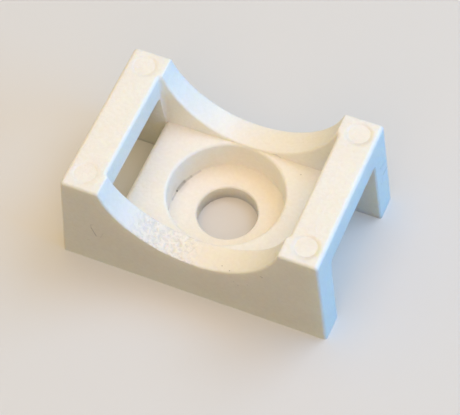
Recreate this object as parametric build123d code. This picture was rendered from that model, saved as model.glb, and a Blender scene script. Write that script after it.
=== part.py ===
from build123d import *
import os
from math import radians, sqrt, tan

# Saddle mount for a cable tie, screwed down through its middle and moulded in one piece.
# X runs along the mount, from one strap bar to the other. Y runs across it, from wall to wall.
# Z stands up from the mounting face, and the screw hole's axis is the Z axis.
# All lengths are in millimetres and all angles in degrees.

# Overall form: a block that leans inwards on all four sides
foot_length = 22.5
foot_width = 14.2
height = 9.7
end_lean = 4.65
side_lean = 1.1
end_top_round = 0.35
side_edge_round = 0.25

# Plate between the two walls, which the strap runs over
plate_top = 4.23
plate_end_round = 0.5

# Saddle that the bundle lies in: a cylinder across the walls, just clear of the plate
saddle_radius = 7.65
saddle_lip = 0.09
saddle_edge_round = 0.15

# Screw hole, and the counterbore that sinks the screw's head below the strap
hole_radius = 2.45
hole_edge_break = 0.1
seat_thickness = 1.47
seat_corner_break = 0.1
head_radius = 4.67
head_rim_round = 0.25

# Pocket opened from above, between the walls and between the two bars, narrowing down to the plate
pocket_side_gap = 0.04
pocket_side_draft = 3.6
pocket_end_gap = 0.19
pocket_end_draft = 1.2
pocket_corner_round = 0.35
slot_gap = 0.1
bar_inner_round = 0.28
bar_inner_break = 0.1

# Channel that the strap runs through: under both bars, between the legs they stand on
bar_thickness = 2.33
leg_draft = 1.8
channel_corner_round = 0.3
channel_mouth_break = 0.12

# Witness marks that the ejector pins leave near the ends of the bars
mark_radius = 1.1
mark_height = 0.03
mark_edge = 0.12
mark_from_end = 1.48
mark_from_side = 1.48

# How far a cutting solid runs past the face that it opens
overcut = 1.0


def lean(rise, angle):
    """Sideways shift of a leaning face over a rise."""
    return rise * tan(radians(angle))


top_length = foot_length - 2 * lean(height, end_lean)
top_width = foot_width - 2 * lean(height, side_lean)
saddle_axis = plate_top + saddle_lip + saddle_radius
saddle_top_half = sqrt(saddle_radius**2 - (saddle_axis - height) ** 2)
pocket_top_half = saddle_top_half + pocket_end_gap
pocket_floor = plate_top - plate_end_round
pocket_half_length = pocket_top_half - lean(height - pocket_floor, pocket_end_draft)
pocket_half_width = head_radius + pocket_side_gap - lean(plate_end_round, pocket_side_draft)
plate_half_length = pocket_half_length - slot_gap
plate_half_width = (pocket_half_width + top_width / 2) / 2
channel_roof = height - bar_thickness
channel_roof_half = pocket_half_width - lean(channel_roof - pocket_floor, leg_draft)
mark_x = top_length / 2 - mark_from_end
mark_y = top_width / 2 - mark_from_side


def trapezoid(half_low, low, half_high, high):
    """Upright face, centred, with one half width at its low level and another at its high one."""
    corners = (-half_low, low), (half_low, low), (half_high, high), (-half_high, high)
    return make_face(Polyline(*corners, close=True))


def carried(plane, face, half_length):
    """Solid that carries an upright face both ways from one of the two upright middle planes."""
    return extrude(plane * face, half_length, both=True)


def rounded_block():
    """Block that leans inwards on four sides, with every edge rounded but those of its foot."""
    end_view = trapezoid(foot_width / 2, 0, top_width / 2, height)
    side_view = trapezoid(foot_length / 2, 0, top_length / 2, height)
    side_view = fillet(side_view.vertices().group_by(Axis.Y)[-1], end_top_round)
    block = carried(Plane.XZ, side_view, foot_width) & carried(Plane.YZ, end_view, foot_length)
    sides = block.faces().sort_by(Axis.Y)
    edges = sides[0].edges() + sides[-1].edges()
    return fillet(edges.filter_by(lambda edge: edge.center().Z > 0), side_edge_round)


def pocket():
    """Space between walls and bars, drafted on four sides, down to where the plate's ends are upright."""
    top = height + overcut
    rise = top - pocket_floor
    top_half_length = pocket_half_length + lean(rise, pocket_end_draft)
    top_half_width = pocket_half_width + lean(rise, pocket_side_draft)
    side_view = trapezoid(pocket_half_length, pocket_floor, top_half_length, top)
    end_view = trapezoid(pocket_half_width, pocket_floor, top_half_width, top)
    space = carried(Plane.XZ, side_view, foot_width) & carried(Plane.YZ, end_view, foot_length)
    uprights = space.edges().filter_by(lambda edge: edge.bounding_box().size.Z > overcut)
    return fillet(uprights, pocket_corner_round)


def channel():
    """Strap channel from end to end, as wide as the pocket at its floor and narrowing upwards."""
    foot_half = channel_roof_half + lean(channel_roof + overcut, leg_draft)
    section = trapezoid(foot_half, -overcut, channel_roof_half, channel_roof)
    section = fillet(section.vertices().group_by(Axis.Y)[-1], channel_corner_round)
    return carried(Plane.YZ, section, foot_length / 2 + overcut)


def bars():
    """Block that channel and pocket open into two walls and two bars on legs, the bars' edges softened."""
    block = rounded_block()
    tunnelled = block - channel()
    mouths = new_edges(block, channel(), combined=tunnelled).filter_by(
        lambda edge: abs(edge.center().X) > pocket_top_half and edge.center().Z > channel_roof / 4
    )
    tunnelled = chamfer(mouths, channel_mouth_break)
    opened = tunnelled - pocket()
    rim = new_edges(tunnelled, pocket(), combined=opened).group_by(Axis.Z)[-1]
    opened = fillet(rim, bar_inner_round)
    inner_half = pocket_half_length + lean(channel_roof - pocket_floor, pocket_end_draft)
    break_top = channel_roof + bar_inner_break
    lower_edges = trapezoid(inner_half + bar_inner_break, channel_roof, inner_half, break_top)
    return opened - carried(Plane.XZ, lower_edges, channel_roof_half - channel_corner_round)


def frame():
    """The two walls and the two bars, with the saddle hollowed across them and its edges softened."""
    bundle = Pos(0, 0, saddle_axis) * Rot(90, 0, 0) * Cylinder(saddle_radius, foot_width + 2 * overcut)
    whole = bars()
    hollowed = whole - bundle
    return fillet(new_edges(whole, bundle, combined=hollowed), saddle_edge_round)


def circle_edge(solid, radius, level):
    """Round edge of a solid about the hole's axis, found by its radius and level."""
    circles = solid.edges().filter_by(GeomType.CIRCLE)
    return circles.sort_by(lambda edge: abs(edge.radius - radius) + abs(edge.center().Z - level))[0]


def plate():
    """Plate with rounded ends, counterbore and screw hole, its sides hidden in the walls."""
    slab = Pos(0, 0, plate_top / 2) * Box(2 * plate_half_length, 2 * plate_half_width, plate_top)
    slab = fillet(slab.edges().filter_by(Axis.Y).group_by(Axis.Z)[-1], plate_end_round)
    depth = plate_top - seat_thickness
    slab -= Pos(0, 0, seat_thickness + depth / 2) * Cylinder(head_radius, depth)
    slab -= Cylinder(hole_radius, 2 * plate_top)
    slab = fillet(circle_edge(slab, head_radius, plate_top), head_rim_round)
    slab = chamfer(circle_edge(slab, head_radius, seat_thickness), seat_corner_break)
    return chamfer(circle_edge(slab, hole_radius, seat_thickness), hole_edge_break)


def witness_marks():
    """Four shallow discs, one near each end of each bar's top, with sloping edges."""
    disc = Cone(mark_radius, mark_radius - mark_edge, mark_height)
    centres = [(x, y, height + mark_height / 2) for x in (-mark_x, mark_x) for y in (-mark_y, mark_y)]
    return [Pos(*centre) * disc for centre in centres]


def main():
    body = frame() + plate() + witness_marks()
    os.makedirs("parts", exist_ok=True)
    export_step(body, "parts/mount_body.step")


main()
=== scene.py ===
"""Looks of a screw-down saddle mount for a cable tie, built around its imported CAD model.

Lengths are in metres. X runs along the mount, Y across it and Z up from its mounting face,
and the screw hole's axis is the Z axis. Sizes named in millimetres carry the unit MM.
"""

import logging
from dataclasses import dataclass
from enum import Enum
from math import cos, radians, sin

import bpy
from mathutils import Matrix, Vector

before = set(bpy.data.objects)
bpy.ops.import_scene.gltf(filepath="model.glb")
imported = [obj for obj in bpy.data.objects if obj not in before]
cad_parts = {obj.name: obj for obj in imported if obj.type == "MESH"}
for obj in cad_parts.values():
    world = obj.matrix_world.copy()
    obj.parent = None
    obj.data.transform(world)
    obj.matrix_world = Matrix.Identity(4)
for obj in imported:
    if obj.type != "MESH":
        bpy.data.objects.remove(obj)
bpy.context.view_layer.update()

MM = 0.001
NODE = "mount_body"
PHOTO_WIDTH = 460

# Places of the colour sockets on a Mix node
MIX_SHARE, MIX_FIRST, MIX_SECOND, MIX_RESULT = 0, 6, 7, 2

Colour = tuple[float, float, float]
Point = tuple[float, float, float]

log = logging.getLogger("mount")


def deselect_all() -> None:
    """Leaves nothing selected and no object active."""
    for thing in bpy.context.selected_objects:
        thing.select_set(False)
    bpy.context.view_layer.objects.active = None


class Board:
    """A node tree being wired, with short calls for the nodes that this scene needs."""

    def __init__(self, tree: bpy.types.NodeTree) -> None:
        """Takes the tree to wire.

        Args:
            tree: the node tree of a material, a world or a node group.
        """
        self.tree = tree

    def node(self, kind: str, **settings: object) -> bpy.types.Node:
        """Adds one node.

        Args:
            kind: the node's type name.
            settings: properties of the node and their values.

        Returns:
            The new node.
        """
        made = self.tree.nodes.new(kind)
        for name, value in settings.items():
            setattr(made, name, value)
        return made

    def feed(self, socket: bpy.types.NodeSocket, value: object) -> None:
        """Links an output to a socket, or sets the socket's own value.

        Args:
            socket: the input socket to feed.
            value: an output socket, a number, a colour or a vector.
        """
        if isinstance(value, bpy.types.NodeSocket):
            self.tree.links.new(value, socket)
        elif socket.type == "RGBA" and len(value) == 3:
            socket.default_value = (*value, 1.0)
        else:
            socket.default_value = value

    def backdrop_seen(self) -> bpy.types.NodeSocket:
        """Adds the rays that see the pale backdrop: the camera's, and mirrored and refracted ones.

        Returns:
            The output socket, 1 for those rays and 0 for the rays that light the mount.
        """
        rays = self.node("ShaderNodeLightPath").outputs
        mirrored = self.maths("MAXIMUM", rays["Is Glossy Ray"], rays["Is Transmission Ray"])
        return self.maths("MAXIMUM", rays["Is Camera Ray"], mirrored)

    def maths(self, operation: str, *terms: object, clamp: bool = False) -> bpy.types.NodeSocket:
        """Works out one number from others.

        Args:
            operation: the Math node's operation.
            terms: output sockets or numbers, in order.
            clamp: whether the result is held between 0 and 1.

        Returns:
            The output socket with the result.
        """
        made = self.node("ShaderNodeMath", operation=operation, use_clamp=clamp)
        for socket, term in zip(made.inputs, terms):
            self.feed(socket, term)
        return made.outputs[0]

    def vector(self, operation: str, *terms: object) -> bpy.types.Node:
        """Adds a Vector Math node.

        Args:
            operation: the node's operation.
            terms: output sockets or vectors, in order.

        Returns:
            The node, whose outputs are Vector and Value.
        """
        made = self.node("ShaderNodeVectorMath", operation=operation)
        for socket, term in zip(made.inputs, terms):
            self.feed(socket, term)
        return made

    def ramp(self, value: object, low: object, high: float, at_low: float, at_high: float,
             ) -> bpy.types.NodeSocket:
        """Carries a range of values over to another, easing in and out and held at both ends.

        Args:
            value: output socket with the value.
            low: number or output socket with the value that gives at_low.
            high: value that gives at_high.
            at_low: result at low.
            at_high: result at high.

        Returns:
            The output socket with the result.
        """
        made = self.node("ShaderNodeMapRange", interpolation_type="SMOOTHSTEP", clamp=True)
        for socket, term in zip(made.inputs, (value, low, high, at_low, at_high)):
            self.feed(socket, term)
        return made.outputs[0]

    def noise(self, place: bpy.types.NodeSocket, size: float, detail: float, roughness: float,
              ) -> bpy.types.NodeSocket:
        """Adds soft noise.

        Args:
            place: output socket with the point it is read at, in metres.
            size: width of its largest patches, in metres.
            detail: how many finer layers it holds.
            roughness: how strong the finer layers are.

        Returns:
            The output socket with a value from 0 to 1.
        """
        made = self.node("ShaderNodeTexNoise")
        terms = {"Vector": place, "Scale": 1 / size, "Detail": detail, "Roughness": roughness}
        for name, value in terms.items():
            self.feed(made.inputs[name], value)
        return made.outputs["Fac"]

    def mix(self, share: object, first: object, second: object) -> bpy.types.NodeSocket:
        """Mixes two colours.

        Args:
            share: how much of the second colour shows, from 0 to 1.
            first: a colour or an output socket.
            second: a colour or an output socket.

        Returns:
            The output socket with the mixed colour.
        """
        made = self.node("ShaderNodeMix", data_type="RGBA")
        self.feed(made.inputs[MIX_SHARE], share)
        self.feed(made.inputs[MIX_FIRST], first)
        self.feed(made.inputs[MIX_SECOND], second)
        return made.outputs[MIX_RESULT]

    def group(self, tree: bpy.types.NodeTree, **inputs: object) -> bpy.types.Node:
        """Places a node group.

        Args:
            tree: the group's own tree.
            inputs: values of its inputs, by name.

        Returns:
            The group's node.
        """
        made = self.node("ShaderNodeGroup", node_tree=tree)
        for name, value in inputs.items():
            self.feed(made.inputs[name], value)
        return made


class SocketKind(Enum):
    """Kinds of socket on a node group."""

    NUMBER = "NodeSocketFloat"
    VECTOR = "NodeSocketVector"


def new_group(name: str, inputs: dict[str, SocketKind], outputs: dict[str, SocketKind],
              ) -> tuple[Board, bpy.types.Node, bpy.types.Node]:
    """Starts a shader node group with named sockets.

    Args:
        name: the group's name.
        inputs: names and kinds of its inputs.
        outputs: names and kinds of its outputs.

    Returns:
        The board to wire it on, its input node and its output node.
    """
    tree = bpy.data.node_groups.new(name, "ShaderNodeTree")
    for side, sockets in (("INPUT", inputs), ("OUTPUT", outputs)):
        for socket, kind in sockets.items():
            tree.interface.new_socket(name=socket, in_out=side, socket_type=kind.value)
    board = Board(tree)
    return board, board.node("NodeGroupInput"), board.node("NodeGroupOutput")


def stroke_group() -> bpy.types.NodeTree:
    """Builds the group that marks a short stroke between two points.

    Returns:
        The group's tree. Its mask is 1 on the stroke's line and 0 outside its width.
    """
    board, given, made = new_group(
        "stroke",
        {"Place": SocketKind.VECTOR, "Start": SocketKind.VECTOR, "End": SocketKind.VECTOR,
         "Half Width": SocketKind.NUMBER, "Core": SocketKind.NUMBER},
        {"Mask": SocketKind.NUMBER},
    )
    along = board.vector("SUBTRACT", given.outputs["End"], given.outputs["Start"]).outputs[0]
    here = board.vector("SUBTRACT", given.outputs["Place"], given.outputs["Start"]).outputs[0]
    reach = board.vector("DOT_PRODUCT", here, along).outputs["Value"]
    whole = board.vector("DOT_PRODUCT", along, along).outputs["Value"]
    share = board.maths("DIVIDE", reach, whole, clamp=True)
    scaled = board.node("ShaderNodeVectorMath", operation="SCALE")
    board.feed(scaled.inputs[0], along)
    board.feed(scaled.inputs["Scale"], share)
    off = board.vector("DISTANCE", here, scaled.outputs[0]).outputs["Value"]
    near = board.maths("DIVIDE", off, given.outputs["Half Width"])
    board.feed(made.inputs["Mask"], board.ramp(near, given.outputs["Core"], 1.0, 1.0, 0.0))
    return board.tree


@dataclass(frozen=True)
class Stroke:
    """A small mark on the surface, from one point to another, in millimetres.

    Its depth is taken out of the surface's bump and its darkening is the share of dark colour,
    grime on most marks and painted shade in the counterbore's corner. Both hold over the core's
    share of its half width and fade out from there.
    """

    start: Point
    end: Point
    half_width: float
    depth: float = 0.0
    dirt_and_shade: float = 0.0
    core: float = 0.25

    def mask(self, board: Board, group: bpy.types.NodeTree, place: bpy.types.NodeSocket,
             ) -> bpy.types.NodeSocket:
        """Wires the mark's mask.

        Args:
            board: the material's board.
            group: the stroke group.
            place: output socket with the surface point.

        Returns:
            The output socket with the mask.
        """
        made = board.group(group, Place=place, **{
            "Start": [c * MM for c in self.start],
            "End": [c * MM for c in self.end],
            "Half Width": self.half_width * MM,
            "Core": self.core,
        })
        return made.outputs["Mask"]


# Fine lines on the front face
SCRATCHES = (
    Stroke((-8.32, -7.00, 5.11), (-8.12, -7.00, 5.22), 0.055, depth=0.02, dirt_and_shade=0.20),
    Stroke((-8.32, -7.00, 5.11), (-8.31, -7.01, 4.72), 0.050, depth=0.01, dirt_and_shade=0.15),
    Stroke((-8.31, -7.01, 4.72), (-7.97, -7.03, 3.73), 0.065, depth=0.03, dirt_and_shade=0.35),
    Stroke((-7.61, -7.03, 3.71), (-7.29, -7.01, 4.51), 0.060, depth=0.015, dirt_and_shade=0.08),
    Stroke((-8.81, -7.05, 2.79), (-8.65, -7.05, 2.80), 0.060, depth=0.02, dirt_and_shade=0.12),
)

# Bruise on the end of the back right leg
CREASES = (
    Stroke((10.88, 6.75, 4.54), (10.875, 5.94, 4.61), 0.10, depth=0.07, dirt_and_shade=0.25),
    Stroke((10.79, 6.60, 5.65), (10.765, 5.63, 5.97), 0.22, depth=-0.06),
    Stroke((10.89, 6.00, 4.40), (10.930, 5.61, 3.93), 0.20, depth=-0.06),
)

# A smudge of grime at the corner of the counterbore's floor, and painted shade in a dark line
# along that corner
SMUDGE_AND_CORNER_SHADE = (
    Stroke((-4.56, 0.42, 1.49), (-4.55, 0.46, 1.51), 0.11, dirt_and_shade=0.85),
    Stroke((-4.57, -0.50, 1.50), (-4.56, 0.36, 1.50), 0.11, dirt_and_shade=0.22),
    Stroke((-4.54, 0.62, 1.52), (-4.36, 1.44, 1.52), 0.20, dirt_and_shade=0.30),
    Stroke((-4.46, 0.55, 1.49), (-4.30, 1.35, 1.49), 0.45, dirt_and_shade=0.10),
    Stroke((-4.36, 1.44, 1.51), (-4.05, 2.11, 1.50), 0.16, dirt_and_shade=0.24),
    Stroke((-4.05, 2.11, 1.49), (-3.58, 2.88, 1.49), 0.14, dirt_and_shade=0.14),
    Stroke((-4.60, -0.60, 1.90), (-4.62, 0.30, 2.05), 0.55, dirt_and_shade=0.05),
)

# Dots on the saddle, the plate and the front face, and a nick at the back wall's foot
SPECKS = (
    Stroke((2.46, -6.46, 4.73), (2.49, -6.47, 4.74), 0.055, dirt_and_shade=0.55),
    Stroke((3.24, -6.82, 5.04), (3.27, -6.84, 5.06), 0.065, dirt_and_shade=0.50),
    Stroke((4.79, 3.78, 4.23), (4.81, 3.80, 4.23), 0.060, dirt_and_shade=0.45),
    Stroke((5.89, -6.98, 6.03), (6.04, -6.985, 6.00), 0.085, depth=0.03, dirt_and_shade=0.30),
    Stroke((3.96, -7.03, 3.62), (4.00, -7.03, 3.60), 0.060, dirt_and_shade=0.25),
    Stroke((4.76, -7.02, 4.19), (4.79, -7.02, 4.18), 0.055, dirt_and_shade=0.22),
    Stroke((3.61, -7.02, 3.98), (3.63, -7.02, 3.97), 0.055, dirt_and_shade=0.22),
    Stroke((2.05, 4.72, 4.35), (2.33, 4.72, 4.42), 0.060, depth=0.02, dirt_and_shade=0.25),
    Stroke((2.36, 4.72, 4.40), (2.69, 4.69, 4.24), 0.055, depth=0.02, dirt_and_shade=0.20),
)

# Edges of the four witness discs, which show more on the right bar than on the left one
WITNESS_X = 8.98
WITNESS_Y = 5.43
WITNESS_TOP = 9.73
WITNESS_HALF_WIDTH = 1.16
WITNESS_CORE = 0.70
HALF_DOT = 0.01


def witness_edge(x: float, y: float, depth: float) -> Stroke:
    """Shades one witness disc's edge.

    Args:
        x: place of the disc's centre along the mount, in millimetres.
        y: its place across the mount.
        depth: how deep the edge looks.

    Returns:
        A stroke that is all but a dot, as wide as the disc.
    """
    start = (x - HALF_DOT, y, WITNESS_TOP)
    end = (x + HALF_DOT, y, WITNESS_TOP)
    return Stroke(start, end, WITNESS_HALF_WIDTH, depth=depth, core=WITNESS_CORE)


WITNESS_EDGES = (
    witness_edge(-WITNESS_X, -WITNESS_Y, 0.10),
    witness_edge(-WITNESS_X, WITNESS_Y, 0.10),
    witness_edge(WITNESS_X, -WITNESS_Y, 0.16),
    witness_edge(WITNESS_X, WITNESS_Y, 0.15),
)


@dataclass(frozen=True)
class Patches:
    """Soft noise over the surface: its patches' width in millimetres, and its finer layers.

    Where it steers something else, that changes between the noise's low and high levels.
    """

    size: float
    detail: float = 2.0
    roughness: float = 0.5
    low: float = 0.0
    high: float = 1.0

    def level(self, board: Board, place: bpy.types.NodeSocket) -> bpy.types.NodeSocket:
        """Wires the noise itself.

        Args:
            board: the material's board.
            place: output socket with the surface point.

        Returns:
            The output socket with a level from 0 to 1.
        """
        return board.noise(place, self.size * MM, self.detail, self.roughness)

    def steer(self, board: Board, place: bpy.types.NodeSocket, at_low: float, at_high: float,
              ) -> bpy.types.NodeSocket:
        """Wires a value that follows the noise.

        Args:
            board: the material's board.
            place: output socket with the surface point.
            at_low: the value up to the low level.
            at_high: the value from the high level on.

        Returns:
            The output socket with the value.
        """
        return board.ramp(self.level(board, place), self.low, self.high, at_low, at_high)


@dataclass(frozen=True)
class Saddle:
    """The front wall's share of the saddle, whose mould left a coarse grain, in millimetres.

    The grain lies within a thin band about the saddle's surface, whose core is a share of it.
    """

    radius: float = 7.65
    axis_height: float = 11.97
    band: float = 0.12
    band_core: float = 0.3
    back: float = -4.3
    left: float = -6.0
    right: float = 1.2
    fade: float = 2.2

    def mask(self, board: Board, place: bpy.types.NodeSocket) -> bpy.types.NodeSocket:
        """Wires a mask that is 1 on the grained surface, whose pits get painted shade.

        Args:
            board: the material's board.
            place: output socket with the surface point.

        Returns:
            The output socket with the mask.
        """
        parts = board.node("ShaderNodeSeparateXYZ")
        board.feed(parts.inputs[0], place)
        x, y, z = (parts.outputs[axis] for axis in "XYZ")
        rise = board.maths("SUBTRACT", z, self.axis_height * MM)
        squares = [board.maths("POWER", side, 2.0) for side in (x, rise)]
        distance = board.maths("SQRT", board.maths("ADD", *squares))
        off = board.maths("ABSOLUTE", board.maths("SUBTRACT", distance, self.radius * MM))
        surface = board.ramp(off, self.band_core * self.band * MM, self.band * MM, 1.0, 0.0)
        front = board.ramp(y, (self.back - self.band) * MM, self.back * MM, 1.0, 0.0)
        after = board.ramp(x, self.left * MM, (self.left + self.fade) * MM, 0.0, 1.0)
        before = board.ramp(x, (self.right - self.fade) * MM, self.right * MM, 1.0, 0.0)
        stretch = board.maths("MULTIPLY", after, before)
        return board.maths("MULTIPLY", board.maths("MULTIPLY", surface, front), stretch)


@dataclass(frozen=True)
class MouldedNylon:
    """Natural nylon, moulded: ivory, a little cloudy, satin, and faintly grained.

    The heights of its grain are in millimetres, and the depth of its glow is in metres.
    """

    name: str = "moulded_nylon"
    colour: Colour = (0.94, 0.908, 0.835)
    cloud_colour: Colour = (0.93, 0.888, 0.80)
    clouds: Patches = Patches(5.0, 3.0, low=0.35, high=0.7)
    speckle_colour: Colour = (0.62, 0.55, 0.44)
    speckle: float = 0.06
    speckles: Patches = Patches(0.30, low=0.35, high=0.65)
    # Painted shade: the pits of the saddle's grain are darkened in the base colour, setting off
    # its glints
    painted_pit_shade_colour: Colour = (0.45, 0.46, 0.48)
    pit_shade: float = 0.22
    painted_pit_shade: Patches = Patches(0.30, 1.0, low=0.40, high=0.56)
    # Dark colour of grime, and of the painted shade along the counterbore's corner
    dirt_and_shade_colour: Colour = (0.07, 0.055, 0.045)
    smoothest: float = 0.35
    roughest: float = 0.46
    satin: Patches = Patches(1.5, 4.0, 0.6, low=0.3, high=0.7)
    saddle_gloss: float = 0.14
    fine_grain: Patches = Patches(0.30)
    fine_height: float = 0.055
    waves: Patches = Patches(2.2)
    wave_height: float = 0.012
    eroded_grain: Patches = Patches(0.30, 1.0)
    eroded_height: float = 0.15
    refraction: float = 1.53
    glow: float = 0.65
    glow_depth: float = 0.0009
    glow_reach: Colour = (1.0, 0.85, 0.55)

    def build(self, strokes: tuple[Stroke, ...], saddle: Saddle) -> bpy.types.Material:
        """Makes the material.

        Args:
            strokes: the small marks that it carries.
            saddle: the hollow with a spark-eroded grain, whose pits get painted shade.

        Returns:
            The new material.
        """
        material = bpy.data.materials.new(self.name)
        material.use_nodes = True
        board = Board(material.node_tree)
        shader = board.tree.nodes["Principled BSDF"]
        place = board.node("ShaderNodeTexCoord").outputs["Object"]
        on_saddle = saddle.mask(board, place)
        cloud = self.clouds.steer(board, place, 0.0, 1.0)
        colour = board.mix(cloud, self.colour, self.cloud_colour)
        speckle = self.speckles.steer(board, place, 0.0, self.speckle)
        colour = board.mix(speckle, colour, self.speckle_colour)
        # Painted shade darkens the base colour in the pits of the saddle's grain
        painted_pit_shade = self.painted_pit_shade.steer(board, place, self.pit_shade, 0.0)
        painted_pit_shade = board.maths("MULTIPLY", painted_pit_shade, on_saddle)
        colour = board.mix(painted_pit_shade, colour, self.painted_pit_shade_colour)
        height = self.grain(board, place, on_saddle)
        marks = stroke_group()
        for stroke in strokes:
            mask = stroke.mask(board, marks, place)
            # Grime, and painted shade along the counterbore's corner, darken the colour
            if stroke.dirt_and_shade:
                dirt_and_shade = board.maths("MULTIPLY", mask, stroke.dirt_and_shade)
                colour = board.mix(dirt_and_shade, colour, self.dirt_and_shade_colour)
            if stroke.depth:
                dug = board.maths("MULTIPLY", mask, stroke.depth * MM)
                height = board.maths("SUBTRACT", height, dug)
        board.feed(shader.inputs["Base Color"], colour)
        satin = self.satin.steer(board, place, self.smoothest, self.roughest)
        sheen = board.maths("MULTIPLY", on_saddle, self.saddle_gloss)
        board.feed(shader.inputs["Roughness"], board.maths("SUBTRACT", satin, sheen))
        bump = board.node("ShaderNodeBump")
        board.feed(bump.inputs["Strength"], 1.0)
        board.feed(bump.inputs["Distance"], 1.0)
        board.feed(bump.inputs["Height"], height)
        board.feed(shader.inputs["Normal"], bump.outputs[0])
        board.feed(shader.inputs["IOR"], self.refraction)
        board.feed(shader.inputs["Subsurface Weight"], self.glow)
        board.feed(shader.inputs["Subsurface Radius"], self.glow_reach)
        board.feed(shader.inputs["Subsurface Scale"], self.glow_depth)
        return material

    def grain(self, board: Board, place: bpy.types.NodeSocket, saddle: bpy.types.NodeSocket,
              ) -> bpy.types.NodeSocket:
        """Wires the surface's height: a faint grain all over, stronger on the saddle.

        Args:
            board: the material's board.
            place: output socket with the surface point.
            saddle: output socket that is 1 where the grain is strong.

        Returns:
            The output socket with the height, in metres.
        """
        fine = board.maths("MULTIPLY", self.fine_grain.level(board, place), self.fine_height * MM)
        waves = board.maths("MULTIPLY", self.waves.level(board, place), self.wave_height * MM)
        eroded = self.eroded_grain.level(board, place)
        eroded = board.maths("MULTIPLY", eroded, self.eroded_height * MM)
        eroded = board.maths("MULTIPLY", eroded, saddle)
        return board.maths("ADD", board.maths("ADD", fine, waves), eroded)


@dataclass
class MountBody:
    """The whole mount: one moulding, which keeps the shape of its CAD node."""

    finish: MouldedNylon = MouldedNylon()
    saddle: Saddle = Saddle()
    strokes: tuple[Stroke, ...] = SCRATCHES + CREASES + SMUDGE_AND_CORNER_SHADE + SPECKS + WITNESS_EDGES

    def dress(self) -> bpy.types.Object:
        """Gives the CAD node its finish.

        Returns:
            The node's object.
        """
        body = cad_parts[NODE]
        body.material_slots[0].material = self.finish.build(self.strokes, self.saddle)
        return body


@dataclass(frozen=True)
class Lamp:
    """A soft square studio lamp that points at the mount, its distance and width in metres."""

    name: str
    direction: Point
    distance: float
    width: float
    watts: float
    colour: Colour

    def build(self) -> bpy.types.Object:
        """Adds the lamp.

        Returns:
            The lamp's object.
        """
        data = bpy.data.lights.new(self.name, "AREA")
        data.shape = "SQUARE"
        data.size = self.width
        data.energy = self.watts
        data.color = self.colour
        lamp = bpy.data.objects.new(self.name, data)
        towards = Vector(self.direction).normalized()
        turn = towards.to_track_quat("Z", "Y").to_matrix().to_4x4()
        lamp.matrix_world = Matrix.Translation(towards * self.distance) @ turn
        bpy.context.scene.collection.objects.link(lamp)
        return lamp


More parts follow.
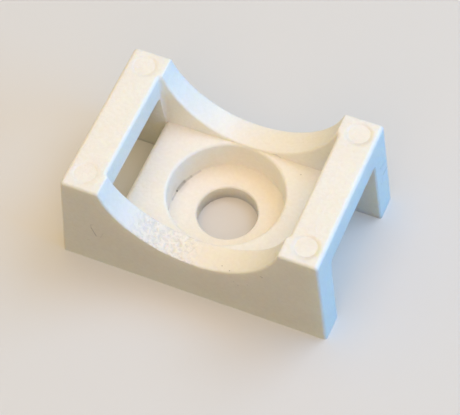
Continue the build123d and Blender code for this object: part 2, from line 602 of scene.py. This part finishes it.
@dataclass
class Studio:
    """A plain pale floor, soft lamps and a soft sky, as warm and as blue as the photo's light.

    The floor lights the mount by its bounce colour, as dark as what lies under it in the photo.
    """

    floor_width: float = 3.0
    floor_colour: Colour = (0.74, 0.74, 0.73)
    bounce_colour: Colour = (0.07, 0.065, 0.06)
    floor_roughness: float = 0.9
    sky_colour: Colour = (0.87, 0.77, 0.45)
    daylight_colour: Colour = (0.07, 0.45, 0.97)
    sky_strength: float = 0.62
    lamps: tuple[Lamp, ...] = (
        Lamp("lamp_above", (0.0, 0.0, 1.0), 0.5, 0.40, 0.88, (1.0, 0.635, 0.42)),
        Lamp("lamp_front", (0.2, -0.7, 0.7), 0.5, 0.40, 0.50, (1.0, 0.63, 0.40)),
        Lamp("lamp_window", (1.0, 0.1, 0.3), 0.5, 0.30, 1.48, (0.06, 0.45, 0.96)),
        Lamp("lamp_pane", (0.35, 0.49, 0.80), 0.5, 0.30, 0.84, (0.50, 0.70, 1.0)),
    )

    def floor(self) -> bpy.types.Object:
        """Adds the floor at the mounting face's level.

        Returns:
            The floor's object.
        """
        deselect_all()
        bpy.ops.mesh.primitive_plane_add(size=self.floor_width, location=(0, 0, 0))
        floor = bpy.context.object
        floor.name = "floor"
        material = bpy.data.materials.new("floor_paper")
        material.use_nodes = True
        board = Board(material.node_tree)
        shader = board.tree.nodes["Principled BSDF"]
        seen = board.backdrop_seen()
        colour = board.mix(seen, self.bounce_colour, self.floor_colour)
        board.feed(shader.inputs["Base Color"], colour)
        board.feed(shader.inputs["Roughness"], self.floor_roughness)
        floor.data.materials.append(material)
        return floor

    def sky(self) -> bpy.types.World:
        """Adds the light from all round, warm but for the blue daylight from the mount's right.

        The rays that see the backdrop see plain white in its place.

        Returns:
            The world.
        """
        world = bpy.data.worlds.new("pale_room")
        bpy.context.scene.world = world
        world.use_nodes = True
        board = Board(world.node_tree)
        light = board.tree.nodes["Background"]
        towards = board.node("ShaderNodeSeparateXYZ")
        board.feed(towards.inputs[0], board.node("ShaderNodeTexCoord").outputs["Generated"])
        daylight = board.ramp(towards.outputs["X"], 0.0, 1.0, 0.0, 1.0)
        colour = board.mix(daylight, self.sky_colour, self.daylight_colour)
        board.feed(light.inputs["Color"], colour)
        board.feed(light.inputs["Strength"], self.sky_strength)
        white = board.node("ShaderNodeBackground")
        board.feed(white.inputs["Color"], (1.0, 1.0, 1.0))
        board.feed(white.inputs["Strength"], 1.0)
        seen = board.backdrop_seen()
        chosen = board.node("ShaderNodeMixShader")
        for socket, value in zip(chosen.inputs, (seen, light.outputs[0], white.outputs[0])):
            board.feed(socket, value)
        board.feed(board.tree.nodes["World Output"].inputs["Surface"], chosen.outputs[0])
        return world

    def build(self) -> None:
        """Adds the floor, the sky and the lamps."""
        self.floor()
        self.sky()
        for lamp in self.lamps:
            lamp.build()


@dataclass(frozen=True)
class PhotoCamera:
    """The photograph's viewpoint, fitted to the mount's own corners and circles.

    Angles are in degrees, offsets, distance and sensor in millimetres, and the focal length in
    pixels of a picture that is PHOTO_WIDTH wide. What it sees lies between near and far, in
    metres.
    """

    azimuth: float = 26.7595
    elevation: float = 56.8478
    roll: float = -4.4427
    aside: float = 0.1484
    above: float = 1.2141
    distance: float = 154.9177
    focal_pixels: float = 1936.47
    sensor: float = 36.0
    near: float = 0.01
    far: float = 10.0

    def build(self) -> bpy.types.Object:
        """Adds the camera and makes it the scene's own.

        Returns:
            The camera's object.
        """
        angles = self.azimuth, self.elevation, self.roll
        azimuth, elevation, roll = (radians(angle) for angle in angles)
        outwards = cos(elevation)
        back = Vector((sin(azimuth) * outwards, -cos(azimuth) * outwards, sin(elevation)))
        level = Vector((cos(azimuth), sin(azimuth), 0.0))
        upright = back.cross(level)
        right = cos(roll) * level + sin(roll) * upright
        up = cos(roll) * upright - sin(roll) * level
        eye = (back * self.distance + right * self.aside + up * self.above) * MM
        data = bpy.data.cameras.new("photo_camera")
        data.sensor_fit = "HORIZONTAL"
        data.sensor_width = self.sensor
        data.lens = self.focal_pixels * self.sensor / PHOTO_WIDTH
        data.clip_start = self.near
        data.clip_end = self.far
        camera = bpy.data.objects.new("photo_camera", data)
        turn = Matrix((right, up, back)).transposed().to_4x4()
        camera.matrix_world = Matrix.Translation(eye) @ turn
        bpy.context.scene.collection.objects.link(camera)
        bpy.context.scene.camera = camera
        return camera


def main() -> None:
    """Builds the view, the studio and the mount, and reports each."""
    logging.basicConfig(level=logging.INFO, format="%(message)s")
    bpy.context.scene.view_settings.view_transform = "Standard"
    log.info("camera: %s", PhotoCamera().build().name)
    Studio().build()
    log.info("studio: floor, sky and lamps")
    body = MountBody().dress()
    log.info("mount: %s, %d faces", body.name, len(body.data.polygons))


if __name__ == "__main__":
    main()
